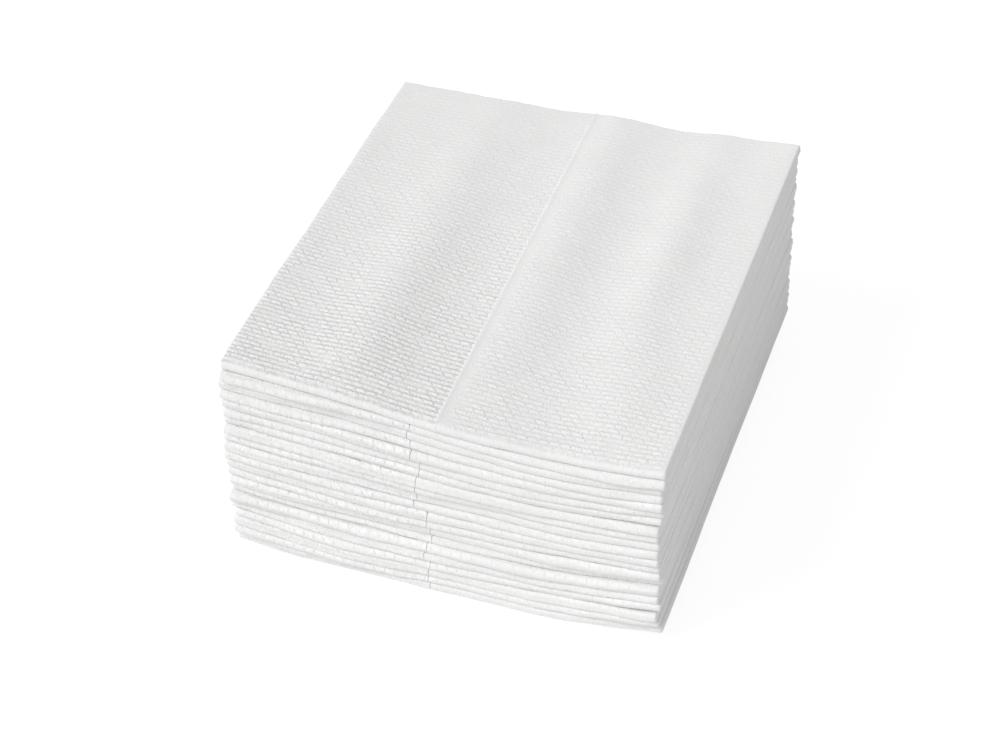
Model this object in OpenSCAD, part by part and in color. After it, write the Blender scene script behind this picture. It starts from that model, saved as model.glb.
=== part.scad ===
// Stack of folded nonwoven wipes.
// Each wipe is one sheet: both sides are folded over to meet in a seam, then the sheet is
// folded in half, so it lies four plies thick with its fold at the front (-Y), its side
// folds at left and right and its cut edges at the back.

/* [Wipe] */
// Width of a folded wipe, from side fold to side fold
wipe_w = 100.8; // [60:0.2:200]
// Depth of a folded wipe, from front fold to cut edges
wipe_d = 117.4; // [60:0.2:240]
// Thickness of one ply as it lies in the stack
ply_t = 0.46; // [0.2:0.02:1]
// Air between the middle panel and the flaps folded over it
flap_gap = 0.1; // [0.04:0.02:0.3]
// Air between the two halves of a wipe once it is folded over
half_gap = 0.14; // [0.04:0.02:0.4]
// Gap between the two flap edges, where they meet
seam_gap = 0.8; // [0.2:0.1:6]
// Usual place of that seam, from the middle of the wipe
seam_x = -5; // [-20:0.5:20]
// How much further back the under half reaches than the upper half
edge_slip = 0.6; // [0:0.1:3]

/* [Stack] */
// Number of wipes in the stack
wipes = 21; // [3:1:30]
// Air between one wipe and the next
wipe_gap = 0.24; // [0.16:0.02:0.6]
// Width of the underside that lies flat on the table
flat_w = 41; // [20:1:60]
// How far the lowest wipe curls up at its side folds
end_curl = 3.2; // [0:0.1:6]
// How far the top wipe rises at its highest corner, the front left
top_rise = 5.6; // [0:0.1:8]
// How far the top wipe's own soft swells stand up
top_swell = 1.5; // [0:0.1:4]

/* [Slips between wipes] */
// Furthest that a wipe has slipped sideways
slip_x = 0.7; // [0:0.1:4]
// Furthest that a wipe has slipped back or forward
slip_y = 0.5; // [0:0.1:4]
// Furthest that a seam lies from its usual place
slip_seam = 6; // [0:0.5:12]
// Most that a wipe is turned in the stack, in degrees
slip_turn = 0.3; // [0:0.1:1]

/* [Hidden] */
// Straight steps around the front fold and around a side fold
front_steps = 3;
side_steps = 3;

// Places across the stack at which it bends, as shares of a wipe's width from its middle
bend_shares = [-0.37, -0.2, -0.08, 0, 0.2, 0.37];

// The top wipe's share of its rise at its left fold, at each bend and at its right fold,
// along its front and along its back
front_shares = [1, 0.85, 0.61, 0.38, 0.23, -0.02, 0.02, 0.2];
back_shares = [0.14, 0.15, 0.18, 0.21, 0.23, 0.3, 0.38, 0.47];

// Places at which the top wipe bends, as such shares: the feet and crests of its swells
swell_places = [-0.42, -0.23, -0.08, 0.07, 0.19, 0.31, 0.41];

// How high its swells stand at its left fold, at each of those places and at its right fold,
// along a line in front of its middle and along a line behind it
near_shares = [0, 0, 1, 0, 0.6, 0.1, 0.55, 0.1, 0];
far_shares = [0, 0, 0.6, 0, 0.85, 0.1, 0.9, 0.1, 0];

// The two lines lie this share of a wipe's depth from its middle. The swells die away to
// nothing at the front fold and keep this share of their height at the back edge
line_share = 0.2;
back_swell = 0.45;

// How sharply the lowest wipe's curl begins: 1 is a straight slope, more is a softer start
curl_power = 1.5;

// Each wipe's share of the slips above, from the lowest wipe up
x_shares = [1, 0.2, 0.2, 0.6, 0, -0.4, 0, 0, -0.4, -0.4, -1, -0.9, -0.6, -0.4, 0,
    0, 0.1, -0.4, -0.3, 0.6, 0.7];
y_shares = [-0.2, 0.4, 0, -0.4, -1, -0.2, 1, -0.2, 1, 0.6, 0, -0.4, -0.6, -0.8, -0.2,
    0.2, 0, -0.6, -0.6, -0.6, 0];
seam_shares = [0.2, 0.2, 0.3, 0.3, 0.2, 0.3, 0.4, 0.4, 0.3, 0.4, -0.1, 0, 0, 0, 0.1,
    0.1, -0.2, -0.2, -0.3, -0.3, 0.72];
turn_shares = [0, 0.5, -0.4, 0.3, -0.8, 0.2, 0.6, -0.3, 0.4, -0.6, 0.3, 0.7, -0.5, 0.2, -0.3,
    0.5, -0.2, 0.4, -0.3, 0.2, -0.6];

// Heights in a wipe, measured from the middle of its thickness
panel_h = half_gap / 2 + ply_t / 2;
flap_h = panel_h + ply_t + flap_gap;
half_t = flap_h + ply_t / 2;

// A side fold turns on this radius, about this place and height
side_r = (flap_h - panel_h) / 2;
side_x = wipe_w / 2 - ply_t / 2 - side_r;
side_h = (flap_h + panel_h) / 2;

// The straight plies run between these two places
front_y = half_t - wipe_d / 2;
back_y = wipe_d / 2;

pitch = 2 * half_t + wipe_gap;
stack_h = wipes * pitch - wipe_gap;

// The side folds of the wipe that has slipped furthest reach this far from the middle
reach = wipe_w / 2 + slip_x;

function share(list, k) = list[(k - 1) % len(list)];

function backwards(list) = [for (i = [len(list) - 1 : -1 : 0]) list[i]];

// Places across a wipe at which it bends, and those with its side folds added
function bends(shares) = [for (share = shares) wipe_w * share];

function places(shares) = concat([-reach], bends(shares), [reach]);

// Rises of the stack's lowest and highest surface, and of the top wipe alone, at those places
function low_rise(x) = end_curl * pow(max(0, (abs(x) - flat_w / 2) / (reach - flat_w / 2)), curl_power);

function rises(xs, whole, shares) = [for (i = [0 : len(xs) - 1]) [xs[i], whole * shares[i]]];

low_rises = [for (x = places(bend_shares)) [x, low_rise(x)]];
front_rises = rises(places(bend_shares), top_rise, front_shares);
back_rises = rises(places(bend_shares), top_rise, back_shares);
near_swells = rises(places(swell_places), top_swell, near_shares);
far_swells = rises(places(swell_places), top_swell, far_shares);

// How much of each line's swells is left, from front to back
line_y = wipe_d * line_share;
near_depths = [[-wipe_d / 2, 0], [-line_y, 1], [line_y, 0]];
far_depths = [[-line_y, 0], [line_y, 1], [wipe_d / 2, back_swell]];

function high_rise(x, y) =
    let (back_share = y / wipe_d + 1 / 2)
    lookup(x, front_rises) * (1 - back_share) + lookup(x, back_rises) * back_share;

function bent(x, y, z) = z + lookup(x, low_rises) * (1 - z / stack_h) + high_rise(x, y) * z / stack_h;

function swell(x, y) =
    lookup(x, near_swells) * lookup(y, near_depths) + lookup(x, far_swells) * lookup(y, far_depths);

// The bends that fall between two places of a wipe that has slipped sideways
function bends_between(shares, from, to, slip) =
    [for (x = bends(shares)) if (x - slip > from && x - slip < to) x - slip];

// Stations along the folded sheet's middle: across, height, and which way it faces
function run(xs, h, facing) = [for (x = xs) [x, h, 0, facing]];

function side_fold(side) = [for (i = [1 : side_steps - 1])
    let (a = -90 * side + 180 * i / side_steps)
    [side * side_x + side_r * cos(a), side_h + side_r * sin(a), cos(a), sin(a)]];

function sheet_line(shares, seam, slip) =
    let (left_edge = seam - seam_gap / 2, right_edge = seam + seam_gap / 2)
    let (left_flap = backwards(bends_between(shares, -side_x, left_edge, slip)))
    let (panel = bends_between(shares, -side_x, side_x, slip))
    let (right_flap = backwards(bends_between(shares, right_edge, side_x, slip)))
    concat(
        run(concat([left_edge], left_flap, [-side_x]), flap_h, 1),
        side_fold(-1),
        run(concat([-side_x], panel, [side_x]), panel_h, -1),
        side_fold(1),
        run(concat([side_x], right_flap, [right_edge]), flap_h, 1)
    );

// The sheet's outline in section: its outer face, then back along its inner face
function face_points(line, side) = [for (s = line)
    [s[0] + side * s[2] * ply_t / 2, s[1] + side * s[3] * ply_t / 2]];

function outline(line) = concat(face_points(line, 1), backwards(face_points(line, -1)));

// The outline's travel: forward on the upper half, around the front fold, back underneath
function travel(stops) = concat(
    [[back_y - edge_slip, 90]],
    [for (y = backwards(stops)) [y, 90]],
    [for (i = [0 : front_steps]) [front_y, 90 - 180 * i / front_steps]],
    [for (y = stops) [y, -90]],
    [[back_y, -90]]
);

function placed(k, x, y, z) =
    let (turn = slip_turn * share(turn_shares, k))
    let (px = x * cos(turn) - y * sin(turn) + slip_x * share(x_shares, k))
    let (py = x * sin(turn) + y * cos(turn) + slip_y * share(y_shares, k))
    [px, py, bent(px, py, z + half_t + (k - 1) * pitch) + (k == wipes ? swell(px, py) : 0)];

function wipe_points(k, path, section) = [for (t = path) for (p = section)
    placed(k, p[0], t[0] - p[1] * cos(t[1]), p[1] * sin(t[1]))];

// Two triangles for each four-sided patch. Seen from above, every ply is split along the
// same diagonal, from its front right to its back left, so plies never cut each other.
function patch(a, b, c, d) = [[a, b, c], [a, c, d]];

function wall_faces(path, section) =
    let (n = len(section))
    [for (j = [0 : len(path) - 2]) for (i = [0 : n - 1])
        let (next = (i + 1) % n)
        let (forward = path[j + 1][0] < path[j][0], to_right = section[next][0] > section[i][0])
        let (a = j * n + i, b = (j + 1) * n + i, c = (j + 1) * n + next, d = j * n + next)
        each forward == to_right ? patch(a, b, c, d) : patch(b, c, d, a)];

function first_cut(n) = [for (i = [0 : n / 2 - 2]) each patch(i, i + 1, n - 2 - i, n - 1 - i)];

function last_cut(path, n) =
    let (last = (len(path) - 1) * n)
    [for (i = [0 : n / 2 - 2]) each patch(last + n - 1 - i, last + n - 2 - i, last + i + 1, last + i)];

module wipe(k) {
    is_top = k == wipes;
    seam = seam_x + slip_seam * share(seam_shares, k);
    slip = slip_x * share(x_shares, k);
    section = outline(sheet_line(is_top ? swell_places : bend_shares, seam, slip));
    path = travel(is_top ? [-line_y, line_y] : []);
    color("whitesmoke")
        polyhedron(
            points = wipe_points(k, path, section),
            faces = concat(wall_faces(path, section), first_cut(len(section)), last_cut(path, len(section)))
        );
}

for (k = [1 : wipes])
    wipe(k);
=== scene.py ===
# A stack of folded nonwoven wipes, lying on a table.

import math

import bmesh
import bpy
import numpy as np
from mathutils import Matrix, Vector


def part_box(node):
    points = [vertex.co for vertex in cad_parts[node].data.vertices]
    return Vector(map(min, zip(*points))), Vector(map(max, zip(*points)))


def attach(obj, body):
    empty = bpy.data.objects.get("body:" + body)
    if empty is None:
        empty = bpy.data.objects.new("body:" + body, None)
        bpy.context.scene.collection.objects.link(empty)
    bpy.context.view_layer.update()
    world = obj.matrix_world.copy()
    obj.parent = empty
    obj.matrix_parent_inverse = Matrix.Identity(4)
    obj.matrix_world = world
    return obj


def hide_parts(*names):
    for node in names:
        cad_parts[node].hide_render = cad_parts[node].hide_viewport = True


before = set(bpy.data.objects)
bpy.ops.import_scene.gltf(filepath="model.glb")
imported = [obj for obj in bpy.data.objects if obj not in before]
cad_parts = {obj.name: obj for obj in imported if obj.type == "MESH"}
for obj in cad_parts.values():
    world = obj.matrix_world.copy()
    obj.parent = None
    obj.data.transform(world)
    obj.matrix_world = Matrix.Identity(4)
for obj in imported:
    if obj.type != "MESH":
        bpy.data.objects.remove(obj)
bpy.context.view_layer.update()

# The cloth
# A web of short fibres, matted together by water jets on a wire screen. The screen leaves
# rows of raised dashes across the web, with small thin spots between one dash and the next.
MM = 0.001
SHEET_UV = "flat_sheet"
MARK_DEPTH = "mark_depth"
# The attribute that carries the painted highlight along the cut edges
EDGE_HIGHLIGHT_ATTRIBUTE = "painted_edge_highlight"

CLOTH_COLOUR = (0.875, 0.875, 0.87, 1)
# Painted highlight: the crests of the dashes are lighter, as if light fell on them
CREST_HIGHLIGHT_COLOUR = (0.95, 0.95, 0.945, 1)
# Painted shade in the grooves between the rows of dashes
GROOVE_SHADE_COLOUR = (0.66, 0.66, 0.655, 1)
# Painted shade in the thin spots between the dashes
THIN_SPOT_SHADE_COLOUR = (0.55, 0.55, 0.545, 1)
# Painted highlight along the cut side edges
EDGE_HIGHLIGHT_COLOUR = (0.97, 0.97, 0.965, 1)
# How strongly the painted shade shows in the grooves and in the thin spots
GROOVE_SHADE_SHARE = 0.9
THIN_SPOT_SHADE_SHARE = 0.5

# The marks: their pitches, how they slant and stray, and how sharply each of them ends
DASH_PITCH = 2.424 * MM
ROW_PITCH = 1.379 * MM
DASH_SLANT = 0.35
WANDER = 0.40 * MM
ROW_ROUNDNESS = 1.6
DASH_END_SHARPNESS = 5.0
DASH_END_DIP = 0.2
GROOVE_SHARPNESS = 3.0
SPOT_SHARPNESS_ACROSS = 5.0
SPOT_SHARPNESS_ALONG = 3.0

# The web's unevenness: sizes as noise scales a metre, and each one's share of the tone
DRIFT_SCALE = 190
PATCH_SCALE = 230
PATCH_GAIN = 2.4
PATCH_OFFSET = -0.2
FIBRE_SCALE = 2300
FIBRE_TONE = 0.1
MARKED_FIBRE_TONE = 0.7
CLOUD_SCALE = 120
CLOUD_TONE = 0.08
PLAIN_TONE = 0.955
MARKED_TONE = 0.035
KNOT_SPACING = 1.2 * MM
KNOT_FALL = -4.0
KNOT_TONE = 0.5

# The marks' and fibres' fine relief
BUMP_HEIGHT = 0.2 * MM
BUMP_STRENGTH = 0.8
FIBRE_RELIEF = 0.9
THIN_SPOT_RELIEF = -0.7


def add_node(tree, kind, **settings):
    node = tree.nodes.new(kind)
    for name, value in settings.items():
        setattr(node, name, value)
    return node


def maths(tree, operation, *values, clamp=False):
    """A Math node's output, fed with numbers or with other nodes' outputs."""
    node = add_node(tree, "ShaderNodeMath", operation=operation, use_clamp=clamp)
    for socket, value in zip(node.inputs, values):
        if isinstance(value, (int, float)):
            socket.default_value = value
        else:
            tree.links.new(value, socket)
    return node.outputs[0]


def mixed(tree, share, base, tint):
    """A mix of two colours, where the base is a fixed colour or another node's output."""
    node = add_node(tree, "ShaderNodeMix", data_type="RGBA")
    tree.links.new(share, node.inputs[0])
    if isinstance(base, tuple):
        node.inputs[6].default_value = base
    else:
        tree.links.new(base, node.inputs[6])
    node.inputs[7].default_value = tint
    return node.outputs[2]


def noise(tree, place, scale, detail, roughness=0.5):
    """A Noise texture's outputs over a place on the sheet."""
    node = add_node(tree, "ShaderNodeTexNoise", noise_dimensions="3D")
    node.inputs["Scale"].default_value = scale
    node.inputs["Detail"].default_value = detail
    node.inputs["Roughness"].default_value = roughness
    tree.links.new(place, node.inputs["Vector"])
    return node.outputs


def off_middle(tree, value):
    """Where a value lies in its whole step, from -0.5 to 0.5, and how near the step's ends."""
    in_step = maths(tree, "SUBTRACT", maths(tree, "FRACT", value), 0.5)
    return in_step, maths(tree, "MULTIPLY", maths(tree, "ABSOLUTE", in_step), 2.0)


def strayed(tree, place, wander):
    """The place, drifting a little off its true one over the sheet."""
    drift = noise(tree, place, DRIFT_SCALE, 2)
    centred = add_node(tree, "ShaderNodeVectorMath", operation="SUBTRACT")
    centred.inputs[1].default_value = (0.5, 0.5, 0.5)
    tree.links.new(drift["Color"], centred.inputs[0])
    moved = add_node(tree, "ShaderNodeVectorMath", operation="MULTIPLY_ADD")
    tree.links.new(centred.outputs[0], moved.inputs[0])
    tree.links.new(wander, moved.inputs[1])
    tree.links.new(place, moved.inputs[2])
    return moved.outputs[0]


def wire_mark_group():
    """The raised dashes and thin spots that the wires leave, from a place on the flat sheet."""
    group = bpy.data.node_groups.new("wire_mark", "ShaderNodeTree")
    face = group.interface
    face.new_socket("Place", in_out="INPUT", socket_type="NodeSocketVector")
    for name in ("Dash Pitch", "Row Pitch", "Wander"):
        face.new_socket(name, in_out="INPUT", socket_type="NodeSocketFloat")
    for name in ("Ridge", "Groove", "Thin Spot", "Dash Tone"):
        face.new_socket(name, in_out="OUTPUT", socket_type="NodeSocketFloat")
    inputs = add_node(group, "NodeGroupInput").outputs
    outputs = add_node(group, "NodeGroupOutput").inputs
    link = group.links.new

    place = add_node(group, "ShaderNodeSeparateXYZ")
    link(strayed(group, inputs["Place"], inputs["Wander"]), place.inputs[0])
    along = maths(group, "DIVIDE", place.outputs["Y"], inputs["Row Pitch"])
    row = maths(group, "FLOOR", along)
    in_row, off_row = off_middle(group, along)
    stagger = maths(group, "MULTIPLY", maths(group, "FLOORED_MODULO", row, 2.0), 0.5)
    slanted = maths(group, "MULTIPLY_ADD", in_row, DASH_SLANT, stagger)
    across = maths(group, "DIVIDE", place.outputs["X"], inputs["Dash Pitch"])
    across = maths(group, "ADD", across, slanted)
    dash = maths(group, "FLOOR", across)
    off_dash = off_middle(group, across)[1]

    row_crest = maths(group, "SUBTRACT", 1.0, maths(group, "POWER", off_row, ROW_ROUNDNESS))
    dash_end = maths(group, "POWER", off_dash, DASH_END_SHARPNESS)
    dash_crest = maths(group, "SUBTRACT", 1.0, maths(group, "MULTIPLY", dash_end, DASH_END_DIP))
    link(maths(group, "MULTIPLY", row_crest, dash_crest), outputs["Ridge"])
    link(maths(group, "POWER", off_row, GROOVE_SHARPNESS), outputs["Groove"])

    from_end = maths(group, "MULTIPLY", maths(group, "SUBTRACT", 1.0, off_dash), SPOT_SHARPNESS_ACROSS)
    from_row = maths(group, "MULTIPLY", off_row, SPOT_SHARPNESS_ALONG)
    from_end = maths(group, "POWER", from_end, 2.0)
    from_row = maths(group, "POWER", from_row, 2.0)
    from_spot = maths(group, "ADD", from_end, from_row)
    link(maths(group, "EXPONENT", maths(group, "MULTIPLY", from_spot, -1.0)), outputs["Thin Spot"])

    cell = add_node(group, "ShaderNodeCombineXYZ")
    link(dash, cell.inputs["X"])
    link(row, cell.inputs["Y"])
    tone = add_node(group, "ShaderNodeTexWhiteNoise", noise_dimensions="2D")
    link(cell.outputs[0], tone.inputs["Vector"])
    link(tone.outputs["Value"], outputs["Dash Tone"])
    return group


def knots(tree, place):
    """Small knots of fibre, each brighter or darker than the web around it."""
    knot = add_node(tree, "ShaderNodeTexVoronoi", voronoi_dimensions="2D")
    knot.inputs["Scale"].default_value = 1 / KNOT_SPACING
    tree.links.new(place, knot.inputs["Vector"])
    size = maths(tree, "MULTIPLY_ADD", knot.outputs["Distance"], KNOT_FALL, 1.0, clamp=True)
    kind = add_node(tree, "ShaderNodeSeparateXYZ")
    tree.links.new(knot.outputs["Color"], kind.inputs[0])
    return maths(tree, "MULTIPLY", size, maths(tree, "SUBTRACT", kind.outputs[0], 0.5))


def nonwoven():
    material = bpy.data.materials.new("nonwoven")
    material.use_nodes = True
    tree = material.node_tree
    link = tree.links.new
    shader = tree.nodes["Principled BSDF"]
    shader.inputs["Roughness"].default_value = 0.95
    shader.inputs["Specular IOR Level"].default_value = 0.25
    shader.inputs["Sheen Weight"].default_value = 0.1
    shader.inputs["Sheen Roughness"].default_value = 0.5

    place = add_node(tree, "ShaderNodeUVMap", uv_map=SHEET_UV).outputs["UV"]
    # Where the painted highlight lies along the cut edges
    painted_edge_highlight = add_node(tree, "ShaderNodeAttribute", attribute_name=EDGE_HIGHLIGHT_ATTRIBUTE).outputs["Fac"]
    depth = add_node(tree, "ShaderNodeAttribute", attribute_name=MARK_DEPTH).outputs["Fac"]
    patch = noise(tree, place, PATCH_SCALE, 2)[0]
    patch = maths(tree, "MULTIPLY_ADD", patch, PATCH_GAIN, PATCH_OFFSET, clamp=True)
    depth = maths(tree, "MULTIPLY", depth, patch)
    fibre = noise(tree, place, FIBRE_SCALE, 4, roughness=0.65)[0]
    cloud = noise(tree, place, CLOUD_SCALE, 3)[0]

    mark = add_node(tree, "ShaderNodeGroup", node_tree=wire_mark_group())
    mark.inputs["Dash Pitch"].default_value = DASH_PITCH
    mark.inputs["Row Pitch"].default_value = ROW_PITCH
    mark.inputs["Wander"].default_value = WANDER
    link(place, mark.inputs["Place"])
    ridge = mark.outputs["Ridge"]
    tone = mark.outputs["Dash Tone"]

    # Colour: painted highlight on the dash crests, painted shade in the grooves and thin spots, and a
    # painted highlight along the cut edges
    full_depth = maths(tree, "MULTIPLY", depth, 1.25, clamp=True)
    crest_highlight_tone = maths(tree, "MULTIPLY_ADD", tone, 0.8, 0.2)
    crest = maths(tree, "MULTIPLY", maths(tree, "POWER", ridge, 2.0), crest_highlight_tone)
    crest = maths(tree, "MULTIPLY", crest, full_depth, clamp=True)
    groove_shade = maths(tree, "MULTIPLY", mark.outputs["Groove"], maths(tree, "POWER", depth, 1.6))
    spot_tone = maths(tree, "MULTIPLY_ADD", tone, 0.9, 0.2)
    spot = maths(tree, "MULTIPLY", mark.outputs["Thin Spot"], spot_tone)
    spot = maths(tree, "MULTIPLY", spot, full_depth)
    groove_shade_share = maths(tree, "MULTIPLY", groove_shade, GROOVE_SHADE_SHARE, clamp=True)
    spot_shade_share = maths(tree, "MULTIPLY", spot, THIN_SPOT_SHADE_SHARE, clamp=True)
    colour = mixed(tree, crest, CLOTH_COLOUR, CREST_HIGHLIGHT_COLOUR)
    colour = mixed(tree, groove_shade_share, colour, GROOVE_SHADE_COLOUR)
    colour = mixed(tree, spot_shade_share, colour, THIN_SPOT_SHADE_COLOUR)
    colour = mixed(tree, painted_edge_highlight, colour, EDGE_HIGHLIGHT_COLOUR)

    # Tone: fibres, knots and clouds, stronger where the marks are deep
    fibre_share = maths(tree, "MULTIPLY_ADD", depth, MARKED_FIBRE_TONE, FIBRE_TONE)
    speckle = maths(tree, "MULTIPLY", maths(tree, "SUBTRACT", fibre, 0.5), fibre_share)
    knot = maths(tree, "MULTIPLY", knots(tree, place), depth)
    speckle = maths(tree, "MULTIPLY_ADD", knot, KNOT_TONE, speckle)
    speckle = maths(tree, "MULTIPLY_ADD", depth, MARKED_TONE, speckle)
    plain = maths(tree, "MULTIPLY_ADD", cloud, CLOUD_TONE, PLAIN_TONE)
    toned = add_node(tree, "ShaderNodeHueSaturation")
    link(colour, toned.inputs["Color"])
    link(maths(tree, "ADD", plain, speckle), toned.inputs["Value"])
    link(toned.outputs[0], shader.inputs["Base Color"])

    # Relief
    height = maths(tree, "MULTIPLY", ridge, maths(tree, "MULTIPLY_ADD", tone, 0.9, 0.4))
    height = maths(tree, "MULTIPLY", height, depth)
    height = maths(tree, "MULTIPLY_ADD", fibre, FIBRE_RELIEF, height)
    height = maths(tree, "MULTIPLY_ADD", spot, THIN_SPOT_RELIEF, height)
    bump = add_node(tree, "ShaderNodeBump")
    bump.inputs["Strength"].default_value = BUMP_STRENGTH
    bump.inputs["Distance"].default_value = BUMP_HEIGHT
    link(height, bump.inputs["Height"])
    link(bump.outputs[0], shader.inputs["Normal"])
    return material


cloth = nonwoven()

# The folded wipes
# Each wipe is one flat sheet of the cloth. Both sides are folded in to a seam on the
# outside, then the sheet is folded in half, which leaves one soft fold at the front, two
# folds on each side and four plies of cut edge at the back.
WIPE_W = 100.8 * MM
WIPE_D = 117.4 * MM
PLY = 0.46 * MM
LOFTY_PLY = 0.60 * MM
FLAP_GAP = 0.10 * MM
HALF_GAP = 0.14 * MM
WIPE_GAP = 0.24 * MM
EDGE_SLIP = 0.6 * MM
SEAM_GAP = 0.12 * MM
TOP_SEAM_LAP = 0.5 * MM

# A wipe's share of the pile's height, and heights from the middle of its thickness
PITCH = 4 * PLY + 2 * FLAP_GAP + HALF_GAP + WIPE_GAP
PANEL_H = PITCH / 8
FLAP_H = 3 * PITCH / 8
HALF_T = FLAP_H + PLY / 2
SIDE_R = (FLAP_H - PANEL_H) / 2
SIDE_H = (FLAP_H + PANEL_H) / 2
SIDE_X = WIPE_W / 2 - PLY / 2 - SIDE_R
SIDE_ARC = math.pi * SIDE_R
FRONT_Y = HALF_T - WIPE_D / 2
BACK_Y = WIPE_D / 2
names = sorted(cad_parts)
STACK_H = len(names) * PITCH - WIPE_GAP

# Each wipe's seam and turn, from the lowest wipe up
SEAM_X = -5 * MM
SLIP_SEAM = 6 * MM
SEAM_SHARES = (0.2, 0.2, 0.3, 0.3, 0.2, 0.3, 0.4, 0.4, 0.3, 0.4, -0.1, 0, 0, 0, 0.1,
               0.1, -0.2, -0.2, -0.3, -0.3, 0.72)
TURN = 0.3
TURN_SHARES = (0, 0.5, -0.4, 0.3, -0.8, 0.2, 0.6, -0.3, 0.4, -0.6, 0.3, 0.7, -0.5, 0.2, -0.3,
               0.5, -0.2, 0.4, -0.3, 0.2, -0.6)

# How far the pile's lowest surface curls up at the sides, beside the width that lies flat,
# and how a wipe's share of the upper rise grows with its height in the pile
REACH = WIPE_W / 2 + 0.7 * MM
FLAT_W = 41 * MM
END_CURL = 3.2 * MM
CURL_POWER = 1.5
RISE_START = 1.6
RISE_END = -0.6

# The rise of the highest surface in millimetres, along the front and the back: a curve's
# factors, over -1 at the left folds to 1 at the right ones, and a wave along the front
RISE_SPAN = 50 * MM
FRONT_CURVE = (1.3, -2.26, 2.0)
FRONT_WAVE = -0.9
BACK_CURVE = (1.3, 0.85, 0.35)

# Soft swells of the top: across and along as shares of the wipe, height in millimetres,
# and half-width and half-depth as shares. They die away beside the front fold.
SWELLS = (
    (0.01, 0.40, 0.45, 0.045, 0.45),
    (0.27, 0.30, 1.65, 0.085, 0.55),
    (0.57, 0.65, 1.45, 0.080, 0.55),
    (0.81, 0.60, 1.55, 0.070, 0.40),
    (0.88, 0.15, 0.80, 0.070, 0.18),
)
SWELL_LOSS = 0.85
SWELL_LOSS_D = 9 * MM

# The back right corners of the two highest wipes stand up
CORNER_LIFTS = {len(names): 1.3 * MM, len(names) - 1: 0.35 * MM}
CORNER_W = 16 * MM
CORNER_D = 22 * MM

# Which gaps between wipes stand open in front on the right side, counted from the lowest
# wipe, how far, and how much further in the folds lie there than elsewhere on that side
OPEN_GAPS = (3.5, 14.5)
OPEN_BY = 0.38 * MM
OPEN_REACH = 2.5
OPEN_W = 12 * MM
OPEN_D = 20 * MM
OPEN_SETBACK = 0.45 * MM

# Towards the back, the right side is pressed flat, by this share of each wipe's slip
PRESSED = 0.75
PRESSED_W = 14 * MM
PRESSED_FROM_Y = -45 * MM
PRESSED_OVER = 50 * MM
NO_SLIP_X = 0.1 * MM

# Uneven waves along the folds and the cut edges: wavelengths and shares, and heights
FOLD_OUT_WAVES = ((79 * MM, 0.7), (33 * MM, 0.25), (11 * MM, 0.08))
FOLD_UP_WAVES = ((37 * MM, 0.6), (15 * MM, 0.4), (7 * MM, 0.3))
DROOP_WAVES = ((97 * MM, 0.6), (41 * MM, 0.4), (19 * MM, 0.2))
SIDE_WAVES = ((70 * MM, 0.6), (29 * MM, 0.3), (13 * MM, 0.2))
CUT_WAVES = ((43 * MM, 0.6), (17 * MM, 0.35), (5 * MM, 0.2))
FOLD_OUT = 0.45 * MM
FOLD_UP = 0.08 * MM
DROOP = 0.40 * MM
SIDE_OUT_LEFT = 0.18 * MM
SIDE_OUT_RIGHT = 0.08 * MM
CUT_OUT = 0.35 * MM

# The front folds: how far each one reaches out, at least and more by chance, how blunt it
# is, and how far the wipes are pushed out or in there. The top wipe's own is the last.
NOSE_LEAST = 0.7
NOSE_MORE = 0.5
NOSE_BLUNTNESS = 0.65
PUSHED = 1.1 * MM
TOP_NOSE = 1.1

# How much flatter than round a side fold is, outside and above
FLATNESS_OUT = 0.6
FLATNESS_UP = 0.8

# How far from a fold or a cut edge its waves reach
FRONT_SOFTNESS = 9 * MM
SIDE_SOFTNESS = 7 * MM
CUT_SOFTNESS = 8 * MM

# The right flap of the top wipe stands up over the left one's edge, which is pressed down
LAP_LIFT = 0.16 * MM
LAP_LIFT_W = 0.5 * MM
LAP_DIP = 0.12 * MM
LAP_DIP_W = 1.2 * MM

# How deep the marks are on the left and the right half, at the back and more at the front,
# and how far each lower sheet's pattern is shifted from the next one's
LEFT_DEPTH = (0.15, 1.15)
RIGHT_DEPTH = (0.20, 0.58)
RELIEF = 0.2 * MM
PATTERN_SHIFT = (13.7 * MM, 31.1 * MM)

# Where they are fainter: around the folds, and on the top wipe's right flap by its seam
FAINT_W = 0.6 * MM
FRONT_LOSS = 0.5
TOP_FRONT_LOSS = 0.8
SIDE_LOSS = 0.85
SIDE_FAINT_W = 1.2 * MM
SEAM_PLAIN_W = 1.5 * MM
SEAM_FADE_W = 2 * MM
SEAM_DEPTH = 0.15

# Spacing of the sheet's vertices
RIM = 0.12 * MM
STEP_ACROSS = 1.3 * MM
STEP_ALONG = 1.2 * MM
WIDE_STEP_ALONG = 6 * MM
CLOSE_REACH = 7 * MM
TOP_CLOSE_REACH = 5 * MM
PANEL_STATIONS = 38
TOP_PANEL_STATIONS = 18
FOLD_STATIONS_ACROSS = 9
FOLD_STATIONS_ALONG = 13


def soft(distance, width):
    """1 at no distance, falling softly to nothing over a few widths."""
    return np.exp(-((distance / width) ** 2))


def ripple(place, seed, waves):
    """A smooth, uneven wave along an edge, from a few wavelengths; about 1 at its highest."""
    draw = np.random.default_rng(seed)
    total = np.zeros_like(place)
    for length, share in waves:
        total += share * np.sin(2 * math.pi * (place / length + draw.random()))
    return total


def low_rise(x):
    beyond = np.maximum(0, np.abs(x) - FLAT_W / 2)
    return END_CURL * (beyond / (REACH - FLAT_W / 2)) ** CURL_POWER


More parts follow.
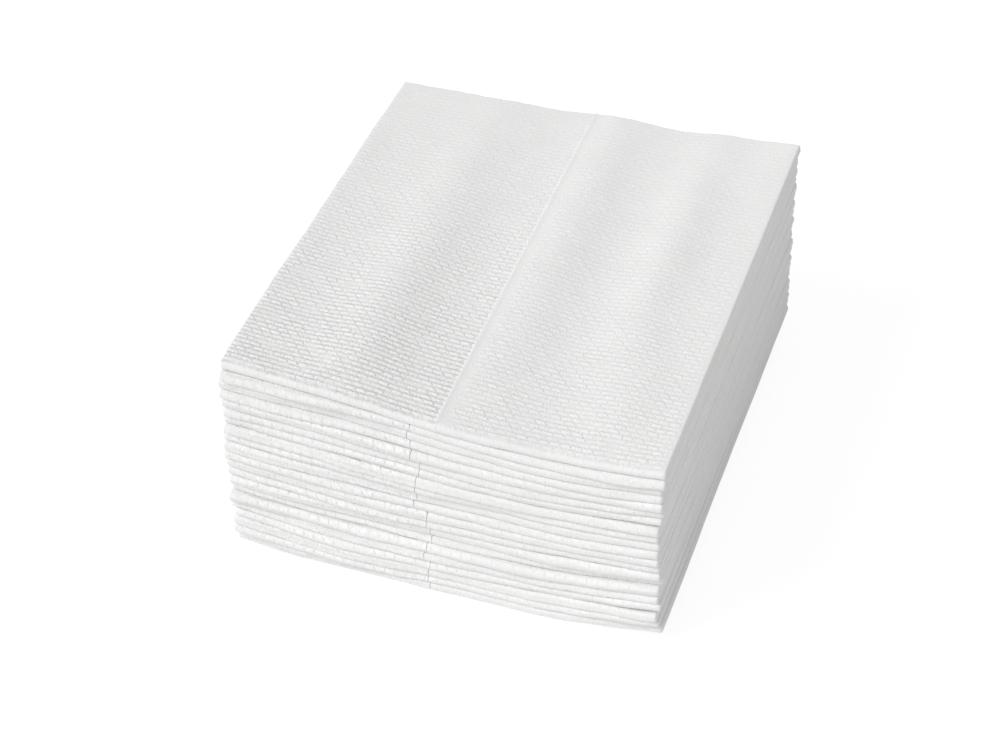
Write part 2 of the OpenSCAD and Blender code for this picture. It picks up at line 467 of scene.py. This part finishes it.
def high_rise(x, y):
    u = np.clip(x / RISE_SPAN, -1.05, 1.05)
    curve = np.polynomial.polynomial.polyval
    front = curve(u, FRONT_CURVE) + FRONT_WAVE * np.sin(math.pi * u)
    share = np.clip(0.5 - y / WIPE_D, 0, 1)
    rise = front * share + curve(u, BACK_CURVE) * (1 - share)
    kept = 1 - SWELL_LOSS * soft(y + BACK_Y, SWELL_LOSS_D)
    for across, along, height, half_w, half_d in SWELLS:
        off_x = x / WIPE_W + 0.5 - across
        off_y = y / WIPE_D + 0.5 - along
        rise = rise + height * kept * soft(off_x, half_w) * soft(off_y, half_d)
    return rise * MM


def near_right(x, y):
    """How near the front part of the right side a place is, from 0 to 1."""
    return soft(REACH - x, OPEN_W) * soft(np.maximum(0, y), OPEN_D)


def bent(number, x, y, z):
    """The height of a place in the pile, once it is bent and its gaps stand open."""
    share = z / STACK_H
    follows = share ** 2 * (RISE_START + RISE_END * share)
    level = z + low_rise(x) * (1 - share) + high_rise(x, y) * follows
    for gap in OPEN_GAPS:
        apart = number - gap
        opening = OPEN_BY * math.exp(-abs(apart) / OPEN_REACH)
        level = level + math.copysign(opening, apart) * near_right(x, y)
    return level


def stations(start, end, step):
    """Places from start to end, at whole steps in between."""
    inner = np.arange(math.ceil(start / step) + 1, math.floor(end / step)) * step
    return np.concatenate([[start], inner, [end]])


def graded(start, end, reach):
    """Places from start to end: close together near both ends and wide in the middle."""
    near = np.arange(0, reach, STEP_ALONG)
    wide_steps = round((end - start - 2 * reach) / WIDE_STEP_ALONG)
    middle = np.linspace(start + reach, end - reach, max(2, wide_steps + 1))
    return np.concatenate([start + near, middle, (end - near)[::-1]])


def stations_across(marks, is_top):
    """Where the vertices stand across the sheet, closest together on the top wipe's flaps."""
    step = DASH_PITCH / 4 if is_top else STEP_ACROSS
    return np.unique(np.concatenate([
        stations(marks[0], marks[1], step),
        np.linspace(marks[1], marks[2], FOLD_STATIONS_ACROSS),
        np.linspace(marks[2], marks[3], TOP_PANEL_STATIONS if is_top else PANEL_STATIONS),
        np.linspace(marks[3], marks[4], FOLD_STATIONS_ACROSS),
        stations(marks[4], marks[5], step),
        [RIM, marks[5] - RIM],
    ]).round(9))


def stations_along(ends, is_top):
    """Where they stand along the sheet, closest together on the top wipe's upper half."""
    if is_top:
        upper = stations(ends[0], ends[1], ROW_PITCH / 2)
        fold = stations(ends[1], ends[2], ROW_PITCH / 2)
    else:
        upper = graded(ends[0], ends[1], CLOSE_REACH)
        fold = ends[1:3]
    return np.unique(np.concatenate([
        upper,
        fold,
        np.linspace(ends[1], ends[2], FOLD_STATIONS_ALONG),
        graded(ends[2], ends[3], TOP_CLOSE_REACH if is_top else CLOSE_REACH),
        [RIM, ends[3] - RIM],
    ]).round(9))


def flat_sheet(name, across, along, shift):
    """A flat mesh with its UV map, and each vertex's place across and along the sheet."""
    mesh = bpy.data.meshes.new(name)
    bm = bmesh.new()
    bm.loops.layers.uv.new(SHEET_UV)
    bmesh.ops.create_grid(bm, x_segments=len(across) - 1, y_segments=len(along) - 1, size=1, calc_uvs=True)
    bm.to_mesh(mesh)
    bm.free()
    place = np.zeros(len(mesh.vertices) * 3, np.float32)
    mesh.vertices.foreach_get("co", place)
    place = place.reshape(-1, 3)
    u = across[np.rint((place[:, 0] + 1) / 2 * (len(across) - 1)).astype(int)]
    v = along[np.rint((place[:, 1] + 1) / 2 * (len(along) - 1)).astype(int)]
    corner = np.zeros(len(mesh.loops), np.int32)
    mesh.loops.foreach_get("vertex_index", corner)
    flat_place = np.stack([u[corner] + shift[0], v[corner] + shift[1]], 1)
    mesh.uv_layers[0].uv.foreach_set("vector", flat_place.astype(np.float32).ravel())
    return mesh, u, v


def depth_of_marks(u, v, marks, ends, is_top):
    """How deep the marks are: less towards the cut edges, and faint on the folds."""
    is_left = u < (marks[2] + marks[3]) / 2
    to_fold = np.clip(1 - np.abs(v - ends[1]) / ends[1], 0, 1)
    left = LEFT_DEPTH[0] + LEFT_DEPTH[1] * to_fold
    right = RIGHT_DEPTH[0] + RIGHT_DEPTH[1] * to_fold
    depth = np.where(is_left, left, right)
    from_fold = np.abs(v - (ends[1] + ends[2]) / 2)
    from_left = np.abs(u - (marks[1] + marks[2]) / 2)
    from_right = np.abs(u - (marks[3] + marks[4]) / 2)
    on_side_fold = soft(np.minimum(from_left, from_right), SIDE_FAINT_W)
    if is_top:
        by_seam = np.clip((marks[5] - u - SEAM_PLAIN_W) / SEAM_FADE_W, SEAM_DEPTH, 1)
        depth = depth * np.where(is_left, 1, by_seam)
        depth = depth * (1 - TOP_FRONT_LOSS * soft(np.maximum(0, from_fold - 0.1 * MM), FAINT_W))
        return depth * (1 - SIDE_LOSS * on_side_fold * ~is_left)
    depth = depth * (1 - FRONT_LOSS * soft(np.maximum(0, from_fold - 0.8 * MM), FAINT_W))
    return depth * (1 - SIDE_LOSS * on_side_fold)


def edge_highlight_of(u, v, marks, ends, is_top):
    """How much painted highlight lies along the cut side edges, most on the top wipe in front."""
    from_edge = np.minimum(u, marks[5] - u)
    to_fold = np.clip(1 - np.abs(v - ends[1]) / ends[1], 0, 1)
    highlight_share = np.sqrt(to_fold) if is_top else 0.15
    return np.clip(1.3 - from_edge / (0.25 * MM), 0, 1) * highlight_share


def relief_of_marks(u, v, depth):
    """How far the dashes stand up, each by its own height."""
    row = np.floor(v / ROW_PITCH + 1e-6)
    crest = 1 - np.abs(2 * np.mod(v / ROW_PITCH + 1e-6, 1) - 1)
    dash_place = u / DASH_PITCH + 0.5 * np.mod(row, 2) + 1e-6
    dash_end = np.abs(2 * np.mod(dash_place, 1) - 1)
    tone = np.random.default_rng(7).random((400, 200))
    own = tone[row.astype(int), np.floor(dash_place).astype(int)]
    return RELIEF * depth * crest * (0.6 + 0.5 * own) * np.where(dash_end > 0.9, 0.6, 1)


def squared(angle):
    """The two parts of a turn that is flatter outside than a round one."""
    c = np.cos(angle)
    s = np.sin(angle)
    out = np.sign(c) * np.abs(c) ** FLATNESS_OUT
    return out, np.sign(s) * np.abs(s) ** FLATNESS_UP


def sides_folded_in(u, marks, seam, half_gap):
    """Where the sheet's vertices come to lie across the wipe, and their height over its middle."""
    c1, s1 = squared(math.pi / 2 + math.pi * (u - marks[1]) / SIDE_ARC)
    c2, s2 = squared(-math.pi / 2 + math.pi * (u - marks[3]) / SIDE_ARC)
    span = [u < marks[1], u <= marks[2], u < marks[3], u <= marks[4]]
    x = np.select(
        span,
        [seam - half_gap - u, -SIDE_X + SIDE_R * c1, u - marks[2] - SIDE_X, SIDE_X + SIDE_R * c2],
        SIDE_X - (u - marks[4]),
    )
    h = np.select(
        span,
        [FLAP_H + 0 * u, SIDE_H + SIDE_R * s1, PANEL_H + 0 * u, SIDE_H + SIDE_R * s2],
        FLAP_H,
    )
    return x, h


def lap_of_seam(u, v, marks, ends):
    """The top wipe's right flap lies over its left one, along the seam."""
    lift = np.where(u > marks[4], LAP_LIFT * soft(marks[5] - u, LAP_LIFT_W), 0)
    under = np.where(u < marks[1], -LAP_DIP * soft(u, LAP_DIP_W), 0)
    return (lift + under) * (v < ends[1])


def folded_in_half(h, v, ends, phi, nose):
    """Where the vertices come to lie along the wipe, once it is folded in half."""
    start = FRONT_Y + (nose - 1) * FLAP_H
    upper = start + (BACK_Y - EDGE_SLIP - start) * (1 - v / ends[1])
    under = start + (BACK_Y - start) * np.clip((v - ends[2]) / (ends[3] - ends[2]), 0, 1)
    return np.where(v < ends[1], upper, under) - h * np.cos(phi) ** NOSE_BLUNTNESS * nose


def folded_wipe(number, is_top):
    seam = SEAM_X + SLIP_SEAM * SEAM_SHARES[number - 1]
    half_gap = -TOP_SEAM_LAP / 2 if is_top else SEAM_GAP / 2
    left_flap = seam - half_gap + SIDE_X
    right_flap = SIDE_X - seam - half_gap
    marks = np.cumsum([0, left_flap, SIDE_ARC, 2 * SIDE_X, SIDE_ARC, right_flap])
    ends = np.cumsum([0, BACK_Y - EDGE_SLIP - FRONT_Y, math.pi * SIDE_H, BACK_Y - FRONT_Y])

    name = f"folded_{names[number - 1]}"
    shift = (0, 0) if is_top else (number * PATTERN_SHIFT[0], number * PATTERN_SHIFT[1])
    mesh, u, v = flat_sheet(name, stations_across(marks, is_top), stations_along(ends, is_top), shift)
    depth = depth_of_marks(u, v, marks, ends, is_top)
    # How much painted highlight lies along the cut edges
    edge = edge_highlight_of(u, v, marks, ends, is_top)
    for attribute, values in ((MARK_DEPTH, depth), (EDGE_HIGHLIGHT_ATTRIBUTE, edge)):
        mesh.attributes.new(attribute, "FLOAT", "POINT").data.foreach_set("value", values.astype(np.float32))

    # Fold the sides in, then fold it in half
    x, h = sides_folded_in(u, marks, seam, half_gap)
    nose = TOP_NOSE
    pushed = 0
    droop = 0
    if is_top:
        h = h + lap_of_seam(u, v, marks, ends) + relief_of_marks(u, v, depth)
    else:
        own = np.random.default_rng(number)
        nose = NOSE_LEAST + NOSE_MORE * own.random()
        pushed = PUSHED * (own.random() - 0.5)
        droop = DROOP
    phi = math.pi / 2 - math.pi * np.clip((v - ends[1]) / (ends[2] - ends[1]), 0, 1)
    y = folded_in_half(h, v, ends, phi, nose)
    z = h * np.sin(phi)

    # Soft, uneven folds and cut edges
    front = soft(y - FRONT_Y, FRONT_SOFTNESS)
    y = y + front * (pushed + FOLD_OUT * ripple(x, number, FOLD_OUT_WAVES))
    z = z + front ** 4 * FOLD_UP * ripple(x, number + 30, FOLD_UP_WAVES)
    z = z + droop * ripple(x, number + 70, DROOP_WAVES) * np.cos(phi) ** 2 * (h / FLAP_H)
    side = soft(np.abs(x) - WIPE_W / 2, SIDE_SOFTNESS)
    x = x + side * np.where(x < 0, SIDE_OUT_LEFT, SIDE_OUT_RIGHT) * ripple(y, number + 50, SIDE_WAVES)
    cut = soft(np.minimum(v, ends[3] - v), CUT_SOFTNESS)
    ply = (h > SIDE_H) + 2 * (z > 0)
    for layer in range(4):
        here = (ply == layer) * cut
        y = y + here * CUT_OUT * ripple(x, 100 + 4 * number + layer, CUT_WAVES)

    # Lay it in the pile: turned, slipped, and bent with the rest
    low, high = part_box(names[number - 1])
    slip_x = (low.x + high.x) / 2
    turn_by = math.radians(TURN * TURN_SHARES[number - 1])
    px = x * math.cos(turn_by) - y * math.sin(turn_by) + slip_x
    py = x * math.sin(turn_by) + y * math.cos(turn_by) + (low.y + high.y) / 2
    pressed = PRESSED * np.clip((y - PRESSED_FROM_Y) / PRESSED_OVER, 0, 1)
    px = px - (slip_x - NO_SLIP_X) * pressed * soft(x - WIPE_W / 2, PRESSED_W)
    pz = bent(number, px, py, z + HALF_T + (number - 1) * PITCH)
    for gap in OPEN_GAPS:
        px = px - OPEN_SETBACK * math.exp(-((number - gap + 0.5) ** 2)) * near_right(px, py)
    lift = CORNER_LIFTS.get(number, 0)
    pz = pz + lift * soft(REACH - px, CORNER_W) * soft(BACK_Y - py, CORNER_D)
    pz = np.maximum(pz, LOFTY_PLY / 2)
    mesh.vertices.foreach_set("co", np.stack([px, py, pz], 1).astype(np.float32).ravel())
    mesh.polygons.foreach_set("use_smooth", np.ones(len(mesh.polygons), bool))
    mesh.materials.append(cloth)
    mesh.update()

    piece = bpy.data.objects.new(name, mesh)
    bpy.context.scene.collection.objects.link(piece)
    thickness = piece.modifiers.new("ply", "SOLIDIFY")
    thickness.thickness = LOFTY_PLY
    thickness.offset = 0
    return piece, (marks[-1], ends[-1])


for number in range(1, len(names) + 1):
    piece, flat = folded_wipe(number, is_top=number == len(names))
    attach(piece, "root")
    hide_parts(names[number - 1])

# The table
# A plain matte white surface under the pile. It looks white to the camera, keeps the
# pile's soft shadow, and throws light back up at its sides.
TABLE_SIZE = 6
TABLE_COLOUR = (0.95, 0.95, 0.95, 1)
SEEN_COLOUR = (0.2, 0.2, 0.2, 1)
SEEN_GLOW = 0.88

table_mesh = bpy.data.meshes.new("table")
bm = bmesh.new()
bmesh.ops.create_grid(bm, x_segments=1, y_segments=1, size=TABLE_SIZE / 2)
bm.to_mesh(table_mesh)
bm.free()
table = bpy.data.objects.new("table", table_mesh)
bpy.context.scene.collection.objects.link(table)
table_paint = bpy.data.materials.new("table_white")
table_paint.use_nodes = True
tree = table_paint.node_tree
paint = tree.nodes["Principled BSDF"]
paint.inputs["Roughness"].default_value = 1
paint.inputs["Specular IOR Level"].default_value = 0
paint.inputs["Emission Color"].default_value = (1, 1, 1, 1)
path = add_node(tree, "ShaderNodeLightPath")
seen = maths(tree, "MAXIMUM", path.outputs["Is Glossy Ray"], path.outputs["Is Transmission Ray"])
seen = maths(tree, "MAXIMUM", seen, path.outputs["Is Camera Ray"])
tree.links.new(mixed(tree, seen, TABLE_COLOUR, SEEN_COLOUR), paint.inputs["Base Color"])
tree.links.new(maths(tree, "MULTIPLY", seen, SEEN_GLOW), paint.inputs["Emission Strength"])
table_mesh.materials.append(table_paint)

# The light
# A soft white sky, and one broad lamp high at the front left, which lights the top and
# the front and leaves the right side in soft shade.
SKY = 0.53
LAMP_ENERGY = 1.81
LAMP_SPREAD = math.radians(28)
LAMP_TILT = math.radians(47)
LAMP_TURN = math.radians(-54)

world = bpy.data.worlds.new("sky")
bpy.context.scene.world = world
world.use_nodes = True
tree = world.node_tree
sky = tree.nodes["Background"]
sky.inputs["Color"].default_value = (1, 1, 1, 1)
path = add_node(tree, "ShaderNodeLightPath")
seen = maths(tree, "MAXIMUM", path.outputs["Is Camera Ray"], path.outputs["Is Glossy Ray"])
tree.links.new(maths(tree, "MULTIPLY_ADD", seen, 1 - SKY, SKY), sky.inputs["Strength"])

lamp = bpy.data.lights.new("key", "SUN")
lamp.energy = LAMP_ENERGY
lamp.angle = LAMP_SPREAD
key = bpy.data.objects.new("key", lamp)
key.rotation_euler = (LAMP_TILT, 0, LAMP_TURN)
bpy.context.scene.collection.objects.link(key)

# The camera
# It looks down at the front and right sides, from the photograph's place. Its turn, its
# distance and its lens were fitted to the corners of the pile there.
AZIMUTH = math.radians(19.01)
ELEVATION = math.radians(41.29)
ROLL = math.radians(-0.90)
DISTANCE = 674.6 * MM
SIDE_SHIFT = (-5.76 * MM, 12.85 * MM)
AIM_X = 0.2 * MM
PIXELS_WIDE = 1000
FOCAL_PIXELS = 2803
SENSOR_W = 36

level = math.cos(ELEVATION)
back = np.array([math.sin(AZIMUTH) * level, -math.cos(AZIMUTH) * level, math.sin(ELEVATION)])
right = np.cross([0, 0, 1], back)
right /= np.linalg.norm(right)
up = np.cross(back, right)
rolled_right = math.cos(ROLL) * right + math.sin(ROLL) * up
rolled_up = math.cos(ROLL) * up - math.sin(ROLL) * right
shift = SIDE_SHIFT[0] * rolled_right + SIDE_SHIFT[1] * rolled_up
place = DISTANCE * back + shift + np.array([AIM_X, 0, 0])
turned = Matrix(np.stack([rolled_right, rolled_up, back], 1).tolist()).to_4x4()
lens = bpy.data.cameras.new("camera")
lens.sensor_width = SENSOR_W
lens.lens = SENSOR_W * FOCAL_PIXELS / PIXELS_WIDE
lens.clip_start = 0.01
camera = bpy.data.objects.new("camera", lens)
camera.matrix_world = Matrix.Translation(place) @ turned
bpy.context.scene.collection.objects.link(camera)
bpy.context.scene.camera = camera

bpy.context.scene.view_settings.view_transform = "Standard"
